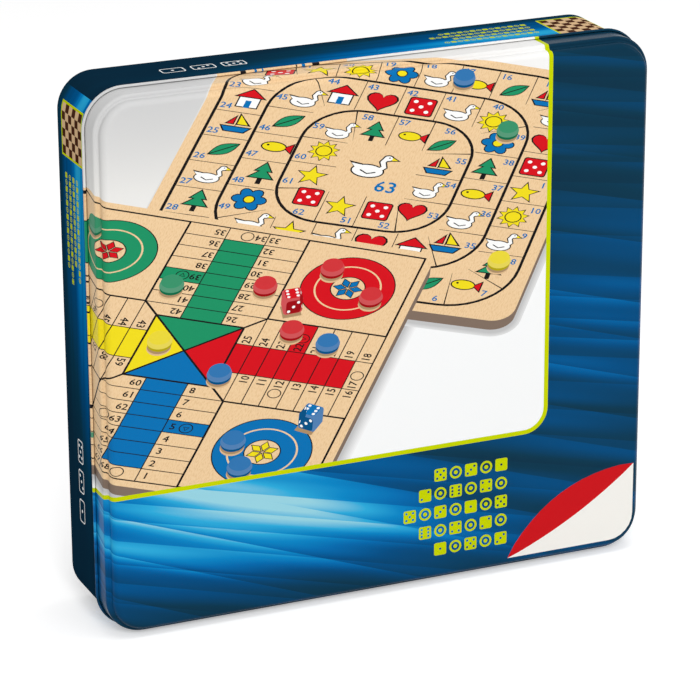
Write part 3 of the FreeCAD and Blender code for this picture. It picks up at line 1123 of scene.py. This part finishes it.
def draw_pictured_counter(art, x, y, seat):
    """A counter on a pictured board: shadow, side, rounded edge and face."""
    rims = []
    for reach, share in ((0.95, 0.04), (1.0, 0.46), (0.87, 1.0)):
        height = BOARD_THICK + share * COUNTER_THICK
        circle = ellipse(x, y, reach * COUNTER_RADIUS, count=28)
        rims.append([pictured(px, py, height) for px, py in circle])
    for drop, shade in ((1.6, "wood_soft"), (0.9, "wood_shade")):
        art.add([(u - 0.3 * drop, v - drop) for u, v in rims[0]], shade)
    art.add(hull(rims[0] + rims[1]), seat + "_dark")
    art.add(hull(rims[1] + rims[2]), seat + "_edge")
    art.add(rims[2], seat + "_face")


def draw_pictured_die(art, x, y, turn, ink):
    """A die on a pictured board: a block with soft edges and three faces with their pips."""
    half, flat = DIE_HALF, DIE_FLAT * DIE_HALF

    def corner(a, b, height):
        return pictured(*moved([(a, b)], x, y, 1.0, turn)[0], BOARD_THICK + height)

    foot = [corner(a - DIE_SHADOW[0], b - DIE_SHADOW[1], 0) for a, b in rectangle(-half, -half, half, half)]
    art.add(foot, "wood_shade")
    soft_corners = ((half, flat, flat), (flat, half, flat), (flat, flat, half))
    ends = [corner(a * u, b * v, half + h * w)
            for a in (-1, 1) for b in (-1, 1) for h in (-1, 1) for u, v, w in soft_corners]
    art.add(hull(ends), ink + "_edge")
    faces = (
        (6, ink, lambda a, b: corner(a, b, 2 * half)),
        (3, ink + "_dark", lambda a, b: corner(a, -half, b + half)),
        (2, ink + "_dark", lambda a, b: corner(-half if turn < 0 else half, a, b + half)),
    )
    for count, shade, face in faces:
        art.add(rounded(-flat, -flat, flat, flat, DIE_ROUND * half, 3), shade, face)
        for px, py in pip_places(count):
            pip = ellipse(PIP_PITCH * half * px, PIP_PITCH * half * py, PIP_RADIUS * half, count=10)
            art.add(pip, "white", face)


def draw_lid_picture(art, line):
    """The pictured set: cross board in front, goose board behind, counters and dice about."""
    draw_shadow(art, *CROSS_PLACE, lightest=0)
    draw_shadow(art, *GOOSE_PLACE, lightest=3)
    for place, draw, counters in ((GOOSE_PLACE, draw_goose_board, GOOSE_COUNTERS),
                                  (CROSS_PLACE, draw_cross_board, CROSS_COUNTERS)):
        on_board = draw_pictured_board(art, *place, draw, line)
        for a, b, seat in counters:
            draw_pictured_counter(art, *on_board(a, b), seat)
    draw_pictured_die(art, *on_board(43, 44), 12, "red")
    draw_pictured_die(art, *on_board(84, -42), -28, "blue")


def draw_sign_rows(art, right, top, rows, pitch, size, ink, place=None):
    """Rows of small dice faces and counters, flush right; rows holds the number of signs in each."""
    step, pip_pitch, pip = 1.25 * size, 0.27 * size, 0.1 * size
    for row, count in enumerate(rows):
        y = top - row * pitch
        for i in range(count):
            x = right - size / 2 - i * step
            if (row + i) % 2:
                ring = art.add(ellipse(x, y, 0.5 * size, count=16), ink, place)
                art.add(ellipse(x, y, 0.34 * size, count=14), None, place, ring)
                art.add(ellipse(x, y, 0.16 * size, count=10), ink, place)
                continue
            die = art.add(moved(rounded(-0.5, -0.5, 0.5, 0.5, 0.14, 3), x, y, size), ink, place)
            for px, py in pip_places((i + 2 * row) % 6 + 1):
                art.add(ellipse(x + px * pip_pitch, y + py * pip_pitch, pip, count=8), None, place, die)


def draw_lid_corner(art):
    """Pale lower right corner below a red band that swells to its middle."""
    edge_x, edge_z, radius = 116.2, -107.6, 11.0
    start_x, end_z, steps, fullness = 57.0, -74.0, 12, 0.8
    round_end = arc_points(edge_x - radius, edge_z + radius, radius, 0, -90, 6)
    run, rise = edge_x - start_x, end_z - edge_z
    chord = [(start_x + run * i / steps, edge_z + rise * i / steps) for i in range(steps + 1)]
    swell = [math.sin(math.pi * i / steps) ** fullness for i in range(steps + 1)]
    across = (-rise / math.hypot(run, rise), run / math.hypot(run, rise))
    for bulge, ink in ((10.0, "red_band"), (-3.0, "corner_white")):
        bow = [(x + across[0] * bulge * s, z + across[1] * bulge * s) for (x, z), s in zip(chord, swell)]
        art.add(bow + round_end, ink)


def draw_lid(art):
    """The lid's print over its pale ground: picture, border, streaks, lime signs and lower corner."""
    border = in_millimetres(settings().tin).border
    left, right, bottom, top, corner, beyond = -150.0, 73.0, -50.9, 150.0, 9.0, 160.0
    draw_lid_picture(art, in_millimetres(settings().board).line)
    for grow, ink in ((0.0, "lime"), (border, "streaks")):
        bend = arc_points(right - corner, bottom + corner, corner + grow, -90, 0, 9)
        art.add([(left, bottom - grow), *bend, (right + grow, top), (beyond, top), (beyond, -beyond),
                 (left, -beyond)], ink)
    draw_sign_rows(art, right=56.5, top=-64.6, rows=(5, 6, 7, 6, 5), pitch=8.3, size=5.6, ink="lime")
    draw_lid_corner(art)


# The base's print


def wall_strip(shell, wall):
    """One wall's strip between two corner middles, run clockwise seen from the front, wall 0 on the left."""
    ax, az = shell.axis
    half, other = (ax, az) if wall % 2 else (az, ax)
    radius = shell.printed[-1][0]
    length = 2 * half + radius * math.pi / 2

    def place(along, reach):
        run = along - length / 2
        beyond = max(abs(run) - half, 0.0)
        turn = math.copysign(beyond / radius, run)
        straight = max(-half, min(half, run))
        u, v = -other - reach * math.cos(turn), straight + reach * math.sin(turn)
        for _ in range(wall):
            u, v = v, -u
        return u, v

    def along(u, v):
        for _ in range(wall):
            u, v = -v, u
        straight = max(-half, min(half, v))
        turn = math.atan2(v - straight, -u - other) if abs(v) > half else 0.0
        return length / 2 + straight + radius * turn

    return SimpleNamespace(length=length, place=place, along=along)


def strip_of(shell, u, v):
    """Number of the wall that a flat point lies on."""
    ax, az = shell.axis
    du, dv = abs(u) - ax, abs(v) - az
    if du > dv:
        return 0 if u < 0 else 2
    return 1 if v > 0 else 3


def draw_wall(art, place, end):
    """Print of one wall: a checkered tile near its end, rows of lime signs beside it, three dice signs."""
    a0, y0, a1, y1 = end - 28.5, -6.0, end - 6.0, 18.0
    squares, margin, splits = 6, 0.9, 8
    tile = rectangle(a0, y0, a1, y1)
    split_tile = [tuple(a + (b - a) * k / splits for a, b in zip(p, q))
                  for p, q in zip(tile, tile[1:] + tile[:1]) for k in range(splits)]
    art.add(split_tile, "lime", place)
    step_a, step_y = (a1 - a0 - 2 * margin) / squares, (y1 - y0 - 2 * margin) / squares
    for i in range(squares):
        for j in range(squares):
            a, y = a0 + margin + i * step_a, y0 + margin + j * step_y
            ink = "tile_dark" if (i + j) % 2 else "tile_light"
            art.add(rectangle(a, y, a + step_a, y + step_y), ink, place)
    draw_sign_rows(
        art, right=end - 35.0, top=14.0, rows=(14, 16, 13, 15), pitch=4.2, size=2.3, ink="lime", place=place)
    first, pitch, sign_y, half_wide, half_high, line = 40.0, 13.0, 7.5, 5.0, 3.0, 0.5
    for i, count in enumerate((1, 3, 5)):
        x = first + pitch * i
        outer, inner = [
            rounded(x - half_wide + inset, sign_y - half_high + inset,
                    x + half_wide - inset, sign_y + half_high - inset, radius, 3)
            for inset, radius in ((0.0, 1.2), (line, 0.9))]
        border = art.add(outer, "white", place)
        art.add(inner, None, place, border)
        for px, py in pip_places(count):
            art.add(ellipse(x + 2.4 * px, sign_y + 1.4 * py, 0.7, count=8), "white", place)


def draw_base(art, shell):
    """The base's print: plain back, and the same strip on each wall."""
    wall_start = shell.runs[-2]
    rear = shell.printed[-2][1]
    art.add(shell.contour(wall_start - 1.0), "navy")
    for wall in range(4):
        strip = wall_strip(shell, wall)

        def place(along, y):
            return strip.place(along, wall_start + rear - y)

        draw_wall(art, place, strip.length)


def draw_board_face(draw, facing):
    """Artwork of one face of the wooden board; the rear one is turned over, so that it reads from behind."""
    art = Artwork()
    line = in_millimetres(settings().board).line
    draw(art, lambda x, y: (-facing * x, y), line)
    return art


# Pieces

# The lid's streaks: rays with pole, width, run and strength, lights with middle, reach and amount
LID_RAYS = (((-1500.0, 440.0), 8.0, 400.0, 0.45), ((-1500.0, 290.0), 5.0, 300.0, 0.32))
LID_LIGHTS = (
    ((-85.0, -62.0), (150.0, 48.0), 0.52), ((95.0, -8.0), (115.0, 66.0), 0.22),
    ((-30.0, -84.0), (200.0, 34.0), 0.2))
LID_GROUND, BASE_GROUND = 0.16, 0.03


def lid_materials(tin, board):
    """Materials of the lid by their ink."""
    materials = {
        "field": litho_field("litho_white_field", tin.field, tin.lid_gloss),
        "streaks": litho_streaks("litho_blue_streaks", LID_RAYS, LID_LIGHTS, LID_GROUND, tin.lid_gloss),
        "wood": litho_beech("litho_beech_print", tin.beech_print, tin.beech_print_dark, tin.lid_gloss),
        "tinplate": bare_tinplate("bare_tinplate_lid"),
    }
    plain = {
        "lime": tin.lime, "red_band": tin.red_band, "corner_white": tin.corner_white,
        "black": board.black, "white": linear("#F7F7F5"), "wood_edge": linear("#7F6D60"),
        "wood_soft": linear("#D9B68B"), "wood_shade": linear("#A98A66"),
    }
    for i in range(SHADES):
        plain["shade_%d" % i] = [SHADE_LIGHT - SHADE_STEP * i] * 3
    for seat in SEATS:
        shade = getattr(board, seat)
        plain[seat] = shade
        plain[seat + "_face"] = [0.9 * c + 0.03 for c in shade]
        plain[seat + "_edge"] = [0.8 * c + 0.08 for c in shade]
        plain[seat + "_dark"] = [0.5 * c for c in shade]
    for ink, shade in plain.items():
        materials[ink] = litho_ink("litho_" + ink, shade, tin.lid_gloss)
    return materials


def base_materials(tin, shell):
    """Materials of the base by their ink; its streaks are light at the far end of a wall, by the rim."""
    length, reach = wall_strip(shell, 0).length, shell.runs[-1]
    rays = (((-900.0, reach - 20.0), 5.0, 300.0, 0.3), ((-700.0, reach - 60.0), 3.5, 300.0, 0.2))
    lights = (((length - 20.0, reach - 8.0), (185.0, 42.0), 0.7),
              ((length - 40.0, reach - 8.0), (120.0, 9.0), 0.25))
    materials = {"streaks": litho_streaks("litho_blue_strip", rays, lights, BASE_GROUND, tin.base_gloss)}
    for ink, name, shade in (
            ("navy", "litho_navy", tin.navy), ("lime", "litho_lime_strip", tin.lime),
            ("white", "litho_white_strip", linear("#F2F4F4")),
            ("tile_dark", "litho_tile_brown", linear("#4A2A1C")),
            ("tile_light", "litho_tile_cream", linear("#D9B68C"))):
        materials[ink] = litho_ink(name, shade, tin.base_gloss)
    materials["tinplate"] = bare_tinplate("bare_tinplate_base")
    return materials


class TIN_OT_lid(bpy.types.Operator):
    """Build the printed slip lid"""

    bl_idname = "game_tin.lid"
    bl_label = "Printed lid"

    def execute(self, context):
        shell, _ = tin_profiles()
        art = Artwork()
        draw_lid(art)
        materials = lid_materials(settings().tin, settings().board)
        mesh = shell_mesh("printed_lid", [(shell, art, "field", True, ())], materials, "tinplate")
        place_piece("printed_lid", mesh, "lid", "printed_tinplate_lid", "tin_lid")
        return {"FINISHED"}


class TIN_OT_base(bpy.types.Operator):
    """Build the printed base"""

    bl_idname = "game_tin.base"
    bl_label = "Printed base"

    def execute(self, context):
        _, shell = tin_profiles()
        art = Artwork()
        draw_base(art, shell)
        seams = []
        for wall in range(4):
            strip = wall_strip(shell, wall)
            seams.append([strip.place(0.0, reach) for reach in (shell.runs[0], shell.runs[-1] + 1.0)])

        def strip_places(corners):
            mean = [sum(c) / len(corners) for c in zip(*corners)]
            strip = wall_strip(shell, strip_of(shell, *mean))
            return [(strip.along(u, v), shell.foot(u, v)[4]) for u, v in corners]

        materials = base_materials(settings().tin, shell)
        mesh = shell_mesh(
            "printed_base", [(shell, art, "streaks", False, seams)], materials, "tinplate", strip_places)
        place_piece("printed_base", mesh, "base", "printed_tinplate_base", "tin_base")
        return {"FINISHED"}


class TIN_OT_board(bpy.types.Operator):
    """Build the two-sided wooden board"""

    bl_idname = "game_tin.board"
    bl_label = "Wooden board"

    def execute(self, context):
        board = settings().board
        sizes = in_millimetres(board)
        middle, half = half_sizes("game_board")
        axis = (half.x - sizes.corner, half.z - sizes.corner)
        flat = sizes.corner - sizes.edge_round
        sides = []
        for facing, draw in ((-1.0, draw_cross_board), (1.0, draw_goose_board)):
            moves = [(sizes.edge_round, -90.0 * facing), (half.y - sizes.edge_round,)]
            profile = bent_side((flat, facing * half.y), moves, 0.0, facing, 4)
            shell = Shell(axis, tuple(middle), profile, [])
            sides.append((shell, draw_board_face(draw, facing), "wood", facing < 0, ()))
        materials = {"wood": varnished_beech("varnished_beech", board.beech, board.beech_dark)}
        for ink in (*SEATS, "black"):
            materials[ink] = screen_ink("screen_" + ink, getattr(board, ink))
        materials["white"] = screen_ink("screen_white", linear("#F4F3EF"))
        mesh = shell_mesh("beech_board", sides, materials, "wood")
        place_piece("beech_board", mesh, "board", "printed_beech", "game_board")
        return {"FINISHED"}


def counter_tree():
    """Node tree of a turned counter: a disc built up in rings, with rounded edges, facing the front."""
    tree = bpy.data.node_groups.new("turned_counter", "GeometryNodeTree")
    for name, kind in (("Diameter", "Float"), ("Thickness", "Float"), ("Edge round", "Float"),
                       ("Place", "Vector"), ("Plastic", "Material")):
        tree.interface.new_socket(name=name, in_out="INPUT", socket_type="NodeSocket" + kind)
    tree.interface.new_socket(name="Geometry", in_out="OUTPUT", socket_type="NodeSocketGeometry")
    entry = add_node(tree, "NodeGroupInput").outputs
    edge = entry["Edge round"]
    radius = add_node(tree, "ShaderNodeMath", {0: entry["Diameter"], 1: 0.5}, operation="MULTIPLY").outputs[0]
    flat = add_node(tree, "ShaderNodeMath", {0: radius, 1: edge}, operation="SUBTRACT").outputs[0]
    double = add_node(tree, "ShaderNodeMath", {0: edge, 1: 2.0}, operation="MULTIPLY").outputs[0]
    wall = add_node(
        tree, "ShaderNodeMath", {0: entry["Thickness"], 1: double}, operation="SUBTRACT").outputs[0]
    sides, steps = 48, 5
    disc = add_node(
        tree, "GeometryNodeMeshCircle", {"Vertices": sides, "Radius": flat}, fill_type="NGON").outputs["Mesh"]
    quarter = [math.pi / 2 * i / steps for i in range(steps + 1)]
    rings = [(math.sin(t), 1 - math.cos(t)) for t in quarter]
    rings += [(math.cos(t), math.sin(t)) for t in quarter]
    grown, last_radius = disc, flat
    for (_, low), (out, high) in zip(rings, rings[1:]):
        rise = wall
        if high >= low:
            rise = add_node(tree, "ShaderNodeMath", {0: edge, 1: high - low}, operation="MULTIPLY").outputs[0]
        offset = add_node(tree, "ShaderNodeCombineXYZ", {"Z": rise}).outputs["Vector"]
        pulled = add_node(
            tree, "GeometryNodeExtrudeMesh",
            {"Mesh": grown, "Offset": offset, "Individual": False}, mode="FACES").outputs
        ring_radius = add_node(
            tree, "ShaderNodeMath", {0: edge, 1: out, 2: flat}, operation="MULTIPLY_ADD").outputs[0]
        ratio = add_node(
            tree, "ShaderNodeMath", {0: ring_radius, 1: last_radius}, operation="DIVIDE").outputs[0]
        grown = add_node(
            tree, "GeometryNodeScaleElements",
            {"Geometry": pulled["Mesh"], "Selection": pulled["Top"], "Scale": ratio}).outputs[0]
        last_radius = ring_radius
    back = add_node(tree, "GeometryNodeFlipFaces", {"Mesh": disc}).outputs[0]
    both = add_node(tree, "GeometryNodeJoinGeometry", {"Geometry": grown})
    tree.links.new(back, both.inputs["Geometry"])
    closed = add_node(tree, "GeometryNodeMergeByDistance", {"Geometry": both.outputs[0], "Distance": 1e-6})
    stood = add_node(
        tree, "GeometryNodeTransform",
        {"Geometry": closed.outputs[0], "Translation": entry["Place"], "Rotation": (math.pi / 2, 0.0, 0.0)})
    real = add_node(tree, "GeometryNodeRealizeInstances", {"Geometry": stood.outputs[0]})
    painted = add_node(
        tree, "GeometryNodeSetMaterial", {"Geometry": real.outputs[0], "Material": entry["Plastic"]})
    add_node(tree, "NodeGroupOutput", {"Geometry": painted.outputs[0]})
    return tree


class TIN_OT_counters(bpy.types.Operator):
    """Build the sixteen counters"""

    bl_idname = "game_tin.counters"
    bl_label = "Counters"

    def execute(self, context):
        pieces = settings().pieces
        tree = counter_tree()
        sockets = {item.name: item.identifier for item in tree.interface.items_tree if item.in_out == "INPUT"}
        for seat in SEATS:
            plastic = moulded_plastic("polystyrene_%s_counter" % seat, getattr(pieces, seat), 0.22, 0.34)
            for number in (1, 2, 3, 4):
                node = "counter_%s_%d" % (seat, number)
                low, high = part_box(node)
                blank = bpy.data.objects.new("blank", bpy.data.meshes.new("blank"))
                context.scene.collection.objects.link(blank)
                turning = blank.modifiers.new("turning", "NODES")
                turning.node_group = tree
                turning[sockets["Diameter"]] = high.x - low.x
                turning[sockets["Thickness"]] = high.y - low.y
                turning[sockets["Edge round"]] = pieces.counter_edge
                turning[sockets["Place"]] = ((low.x + high.x) / 2, high.y, (low.z + high.z) / 2)
                turning[sockets["Plastic"]] = plastic
                evaluated = blank.evaluated_get(context.evaluated_depsgraph_get())
                mesh = bpy.data.meshes.new_from_object(evaluated)
                bpy.data.objects.remove(blank)
                mesh.shade_smooth()
                mesh.set_sharp_from_angle(angle=math.radians(40))
                place_piece("turned_" + node, mesh, node, seat + "_counter", node)
        return {"FINISHED"}


# Pips of a die: least depth in millimetres, and the share of a face that they lie in
PIP_SUNK = 0.03
PIP_FIELD = 0.72


class TIN_OT_dice(bpy.types.Operator):
    """Build the two dice with painted pips"""

    bl_idname = "game_tin.dice"
    bl_label = "Dice"

    def execute(self, context):
        pieces = settings().pieces
        paint = moulded_plastic("pip_paint", pieces.pip, 0.4, 0.55)
        for seat in ("red", "blue"):
            node = "die_" + seat
            low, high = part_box(node)
            middle, half = (low + high) / 2, (high.x - low.x) / 2
            mesh = smooth_copy("moulded_" + node, node)
            plastic = moulded_plastic("polystyrene_%s_die" % seat, getattr(pieces, seat), 0.16, 0.26)
            mesh.materials.append(plastic)
            mesh.materials.append(paint)
            for polygon in mesh.polygons:
                reach = sorted(abs(c) for c in polygon.center - middle)
                sunk = half - reach[2] > PIP_SUNK * MM
                polygon.material_index = 1 if sunk and reach[1] < PIP_FIELD * half else 0
            place_piece("moulded_" + node, mesh, node, seat + "_die", node)
        return {"FINISHED"}


class TIN_OT_inside(bpy.types.Operator):
    """Build the thermoformed tray and the folded leaflet"""

    bl_idname = "game_tin.inside"
    bl_label = "Tray and leaflet"

    def execute(self, context):
        pieces = settings().pieces
        tray = smooth_copy("formed_tray", "insert_tray")
        tray.materials.append(moulded_plastic("thermoformed_polystyrene", pieces.tray, 0.36, 0.5))
        place_piece("formed_tray", tray, "base", "thermoformed_plastic", "insert_tray")
        leaflet = smooth_copy("folded_leaflet", "rules_leaflet")
        leaflet.materials.append(folded_paper("uncoated_paper", pieces.paper))
        place_piece("folded_leaflet", leaflet, "leaflet", "paper", "rules_leaflet")
        return {"FINISHED"}


# Stage, in metres and watts

FLOOR_REACH = 5.0

# Lamps: name, place, size and power
LAMPS = (
    ("key", (-0.5, -1.7, 1.3), (0.7, 0.7), 17.5),
    ("top", (0.1, -0.2, 1.7), (1.2, 0.6), 7.0),
    ("side", (1.5, -0.9, 0.7), (0.3, 1.2), 4.0),
)


def seen_strength(tree, lit, seen):
    """One strength for the light that falls on things, another for what is seen, mirrored or seen through."""
    path = add_node(tree, "ShaderNodeLightPath").outputs
    looked = path["Is Camera Ray"]
    for ray in ("Is Glossy Ray", "Is Transmission Ray"):
        looked = add_node(tree, "ShaderNodeMath", {0: looked, 1: path[ray]}, operation="MAXIMUM").outputs[0]
    strength = add_node(tree, "ShaderNodeMapRange", {"Value": looked, "To Min": lit, "To Max": seen})
    return strength.outputs["Result"]


def lay_floor(scene, stage):
    """A matt pale floor that is seen as white round the soft shadow."""
    corners = rectangle(-FLOOR_REACH, -FLOOR_REACH, FLOOR_REACH, FLOOR_REACH)
    mesh = bpy.data.meshes.new("floor")
    mesh.from_pydata([(x, y, 0.0) for x, y in corners], [], [(0, 1, 2, 3)])
    floor = bpy.data.objects.new("floor", mesh)
    scene.collection.objects.link(floor)
    material, tree, shader = new_material("pale_floor", stage.floor, specular_ior_level=0.0)
    place = add_node(tree, "ShaderNodeTexCoord")
    uneven_gloss(tree, shader, place.outputs["Object"], 40.0, 0.85, 0.95, 0.0)
    shader.inputs["Emission Color"].default_value = (1.0, 1.0, 1.0, 1.0)
    tree.links.new(seen_strength(tree, 0.0, stage.floor_glow), shader.inputs["Emission Strength"])
    mesh.materials.append(material)


def light_studio(scene, stage, middle):
    """Even light from all sides and three soft lamps that face the tin."""
    scene.world = bpy.data.worlds.new("studio")
    scene.world.use_nodes = True
    tree = scene.world.node_tree
    sky = tree.nodes["Background"]
    sky.inputs["Color"].default_value = (1.0, 1.0, 1.0, 1.0)
    tree.links.new(seen_strength(tree, stage.ambient, 1.0), sky.inputs["Strength"])
    for name, spot, size, power in LAMPS:
        lamp = bpy.data.lights.new(name, "AREA")
        lamp.shape = "RECTANGLE"
        lamp.size, lamp.size_y = size
        lamp.energy = power
        holder = bpy.data.objects.new(name, lamp)
        scene.collection.objects.link(holder)
        holder.location = spot
        holder.rotation_euler = (middle - Vector(spot)).to_track_quat("-Z", "Y").to_euler()


def aim_camera(scene, stage, middle):
    """A long lens to the left of the front and above it."""
    aim = Vector((stage.aim_side, 0.0, middle.z + stage.aim_height))
    flat = math.cos(stage.elevation)
    forward = Vector((
        math.sin(stage.azimuth) * flat, math.cos(stage.azimuth) * flat, -math.sin(stage.elevation)))
    camera = bpy.data.objects.new("camera", bpy.data.cameras.new("camera"))
    scene.collection.objects.link(camera)
    camera.data.lens = stage.lens
    camera.data.clip_start = 0.01
    camera.location = aim - forward * stage.distance
    turn = forward.to_track_quat("-Z", "Y").to_matrix() @ Matrix.Rotation(stage.roll, 3, "Z")
    camera.rotation_euler = turn.to_euler()
    scene.camera = camera


class TIN_OT_stage(bpy.types.Operator):
    """Set up floor, lamps and camera"""

    bl_idname = "game_tin.stage"
    bl_label = "Stage"

    def execute(self, context):
        scene, stage = context.scene, settings().stage
        low, high = cad_box
        middle = (low + high) / 2
        scene.view_settings.view_transform = "Standard"
        lay_floor(scene, stage)
        light_studio(scene, stage, middle)
        aim_camera(scene, stage, middle)
        return {"FINISHED"}


# All settings, the panel and registration


class GameTinSettings(bpy.types.PropertyGroup):
    """Everything that can be changed on the tin."""

    tin: PointerProperty(type=TinSettings)
    board: PointerProperty(type=BoardSettings)
    pieces: PointerProperty(type=PieceSettings)
    stage: PointerProperty(type=StageSettings)


OPERATORS = (TIN_OT_stage, TIN_OT_lid, TIN_OT_base, TIN_OT_board, TIN_OT_counters, TIN_OT_dice, TIN_OT_inside)


class TIN_PT_panel(bpy.types.Panel):
    """Settings and build steps of the game tin"""

    bl_idname = "TIN_PT_panel"
    bl_label = "Game tin"
    bl_space_type = "VIEW_3D"
    bl_region_type = "UI"
    bl_category = "Game tin"

    def draw(self, context):
        for group in ("stage", "tin", "board", "pieces"):
            box = self.layout.box()
            box.label(text=group.title())
            values = getattr(context.scene.game_tin, group)
            for name in type(values).__annotations__:
                box.prop(values, name)
        for operator in OPERATORS:
            self.layout.operator(operator.bl_idname)


CLASSES = (
    TinSettings, BoardSettings, PieceSettings, StageSettings, GameTinSettings, *OPERATORS, TIN_PT_panel)


def register():
    """Register the classes and add the settings to the scene."""
    for cls in CLASSES:
        bpy.utils.register_class(cls)
    bpy.types.Scene.game_tin = PointerProperty(type=GameTinSettings)


def unregister():
    """Undo register."""
    del bpy.types.Scene.game_tin
    for cls in reversed(CLASSES):
        bpy.utils.unregister_class(cls)


def main():
    """Build everything."""
    register()
    for operator in OPERATORS:
        group, name = operator.bl_idname.split(".")
        getattr(getattr(bpy.ops, group), name)()


if __name__ == "__main__":
    main()
